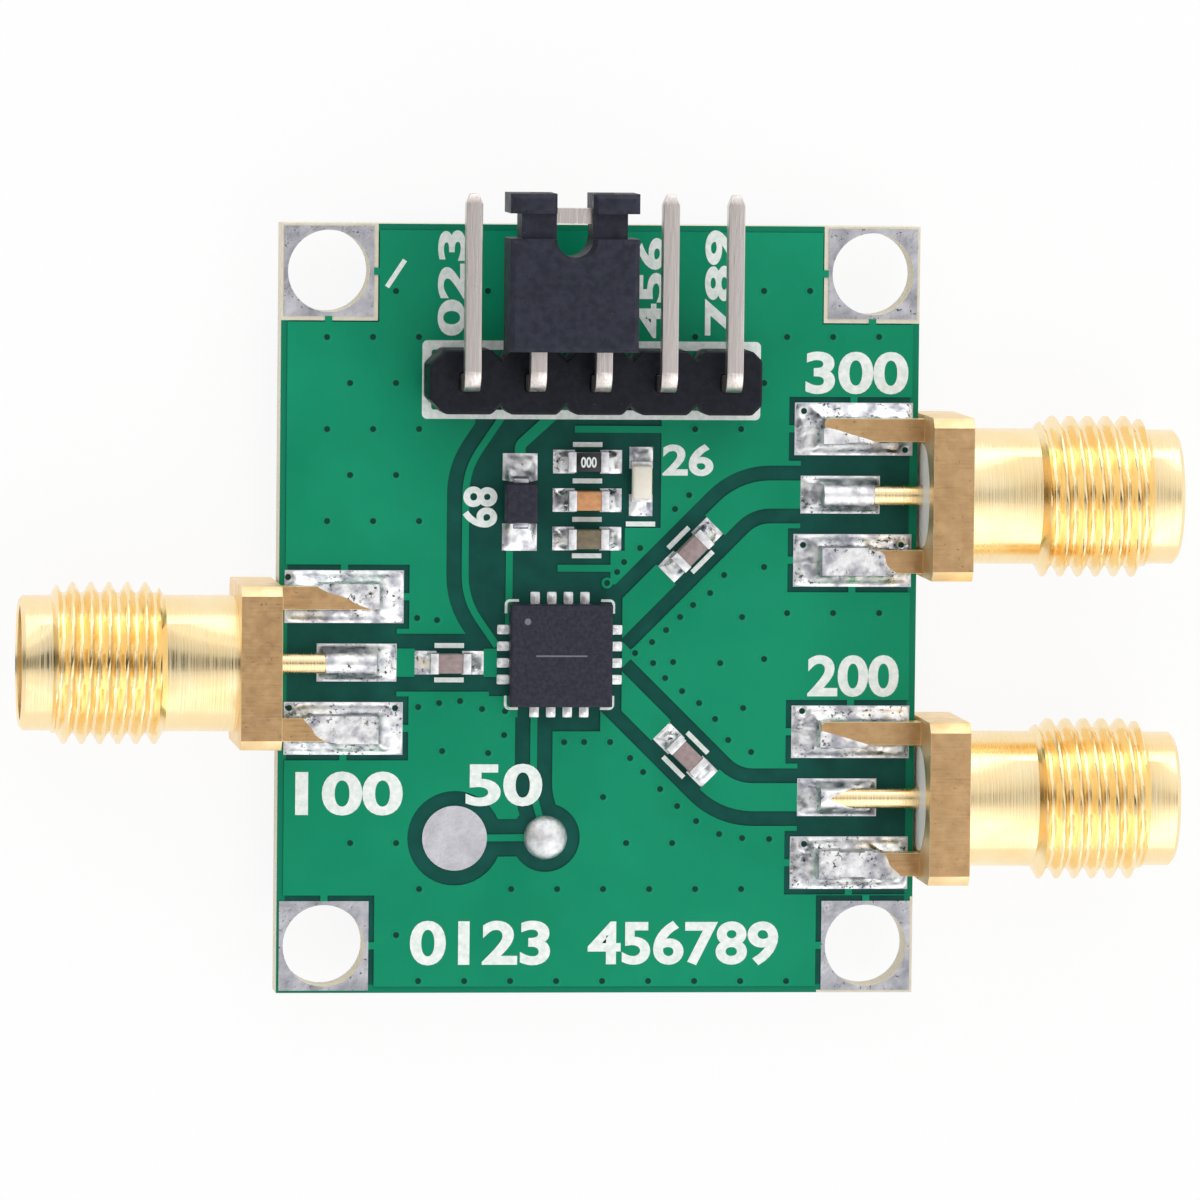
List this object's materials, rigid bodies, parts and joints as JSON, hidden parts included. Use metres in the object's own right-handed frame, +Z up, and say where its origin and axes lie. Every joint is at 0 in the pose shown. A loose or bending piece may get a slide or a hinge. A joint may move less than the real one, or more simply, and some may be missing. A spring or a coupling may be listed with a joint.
{
  "type": "rf switch module",
  "caption": "Small green circuit board that switches a radio signal between threaded coaxial jacks, with a bent pin header and a pull-off jumper cap.",
  "frame": {"origin": "middle of the four mounting holes, on the board's underside", "axes": "+X from the single jack to the pair of jacks, +Y towards the edge that the header's pins hang over, +Z up through the component side"},
  "size_m": [0.0452, 0.0313, 0.0079],
  "materials": {
    "coated_board": "dark green coating on bare laminate",
    "coated_copper": "green coating on copper",
    "tinned": "tin plated",
    "solder": "bright solder",
    "gold_plate": "gold plated brass",
    "insulator": "white fluoroplastic",
    "header_plastic": "moulded",
    "jumper_plastic": "moulded",
    "pin_metal": "tinned brass wire",
    "chip_mould": "moulded epoxy",
    "alumina": "plain",
    "resistor_coat": "overglaze",
    "lamp_lens": "cast resin",
    "grey_ceramic": "fired",
    "tan_ceramic": "fired",
    "brown_ceramic": "fired"
  },
  "bodies": {
    "board": {"circuit_board": "coated_board", "top_ground_copper": "coated_copper", "bottom_ground_copper": "coated_copper", "common_line": "coated_copper", "upper_line": "coated_copper", "lower_line": "coated_copper", "control_traces": "coated_copper", "mounting_lands": "tinned", "port_lands": "tinned", "header_lands": "tinned", "switch_chip_lands": "tinned", "part_lands": "tinned", "enable_lands": "tinned", "enable_solder": "solder", "header_solder": "solder", "switch_chip_solder": "solder", "part_solder": "solder", "header_body": "header_plastic", "switch_chip_body": "chip_mould", "switch_chip_leads": "tinned", "switch_chip_paddle": "tinned", "bias_resistor_body": "alumina", "bias_resistor_coat": "resistor_coat", "bias_resistor_ends": "tinned", "indicator_lamp_body": "alumina", "indicator_lamp_ends": "tinned", "indicator_lamp_lens": "lamp_lens", "diode_body": "chip_mould", "diode_leads": "tinned", "common_capacitor_body": "grey_ceramic", "upper_capacitor_body": "grey_ceramic", "lower_capacitor_body": "grey_ceramic", "first_bypass_capacitor_body": "tan_ceramic", "second_bypass_capacitor_body": "brown_ceramic", "common_capacitor_ends": "tinned", "upper_capacitor_ends": "tinned", "lower_capacitor_ends": "tinned", "first_bypass_capacitor_ends": "tinned", "second_bypass_capacitor_ends": "tinned", "common_port_shell": "gold_plate", "common_port_insulator": "insulator", "common_port_contact": "gold_plate", "common_port_solder": "solder", "upper_port_shell": "gold_plate", "upper_port_insulator": "insulator", "upper_port_contact": "gold_plate", "upper_port_solder": "solder", "lower_port_shell": "gold_plate", "lower_port_insulator": "insulator", "lower_port_contact": "gold_plate", "lower_port_solder": "solder", "header_pin_1": "pin_metal", "header_pin_2": "pin_metal", "header_pin_3": "pin_metal", "header_pin_4": "pin_metal", "header_pin_5": "pin_metal"},
    "jumper": {"jumper_housing": "jumper_plastic", "jumper_clip": "pin_metal"}
  },
  "joints": [
    {"name": "jumper_pull", "type": "slide", "parent": "board", "child": "jumper", "axis": [0, 1, 0], "range_m": [0, 0.0075]}
  ]
}
